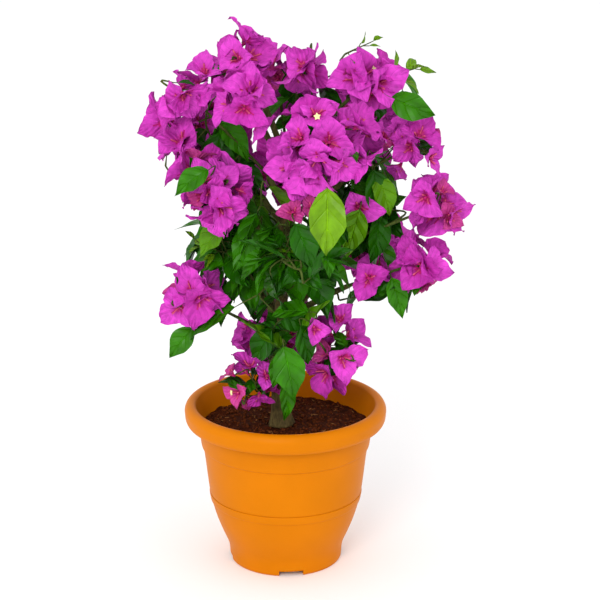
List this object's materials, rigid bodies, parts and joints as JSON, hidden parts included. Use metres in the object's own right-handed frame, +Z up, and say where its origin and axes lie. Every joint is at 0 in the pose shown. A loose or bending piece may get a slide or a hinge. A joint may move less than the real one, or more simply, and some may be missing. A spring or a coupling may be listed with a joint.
{
  "type": "potted bougainvillea bush",
  "caption": "Bushy flowering bougainvillea with magenta bracts and green leaves, growing on an upright stem in a round orange plastic pot.",
  "frame": {"origin": "centre of the pot's flat underside, on the pot's axis", "axes": "+Z up from the ground through the pot; -Y towards the front of the bush, where a drainage notch shows in the pot's foot; +X to the right as seen from the front"},
  "size_m": [0.394, 0.34, 0.705],
  "materials": {
    "pot_plastic": "satin",
    "potting_mix": "matte",
    "bark": "matte",
    "leaves": "satin",
    "blossom": "matte"
  },
  "bodies": {
    "root": {"blossom_back_left": "blossom", "blossom_back_low": "blossom", "blossom_back_middle": "blossom", "blossom_back_right": "blossom", "blossom_back_top": "blossom", "blossom_front": "blossom", "blossom_left_front": "blossom", "blossom_left_low": "blossom", "blossom_left_middle": "blossom", "blossom_left_outer": "blossom", "blossom_left_upper": "blossom", "blossom_right_low": "blossom", "blossom_right_outer": "blossom", "blossom_right_upper": "blossom", "blossom_skirt_back": "blossom", "blossom_skirt_left": "blossom", "blossom_skirt_right": "blossom", "blossom_top_left": "blossom", "blossom_top_middle": "blossom", "blossom_top_right": "blossom", "bough_to_blossom_back_left": "bark", "bough_to_blossom_back_low": "bark", "bough_to_blossom_back_middle": "bark", "bough_to_blossom_back_right": "bark", "bough_to_blossom_back_top": "bark", "bough_to_blossom_front": "bark", "bough_to_blossom_left_front": "bark", "bough_to_blossom_left_low": "bark", "bough_to_blossom_left_middle": "bark", "bough_to_blossom_left_upper": "bark", "bough_to_blossom_right_low": "bark", "bough_to_blossom_right_outer": "bark", "bough_to_blossom_right_upper": "bark", "bough_to_blossom_skirt_back": "bark", "bough_to_blossom_skirt_left": "bark", "bough_to_blossom_skirt_right": "bark", "bough_to_blossom_top_left": "bark", "bough_to_blossom_top_right": "bark", "bough_to_leaves_back": "bark", "bough_to_leaves_front": "bark", "bough_to_leaves_left": "bark", "bough_to_leaves_right": "bark", "leaves_back": "leaves", "leaves_back_right": "leaves", "leaves_front": "leaves", "leaves_left": "leaves", "leaves_low_front": "leaves", "leaves_low_left": "leaves", "leaves_low_right": "leaves", "leaves_right": "leaves", "leaves_top": "leaves", "leaves_upper_left": "leaves", "leaves_upper_right": "leaves", "pot": "pot_plastic", "soil": "potting_mix", "trunk": "bark"}
  },
  "joints": []
}
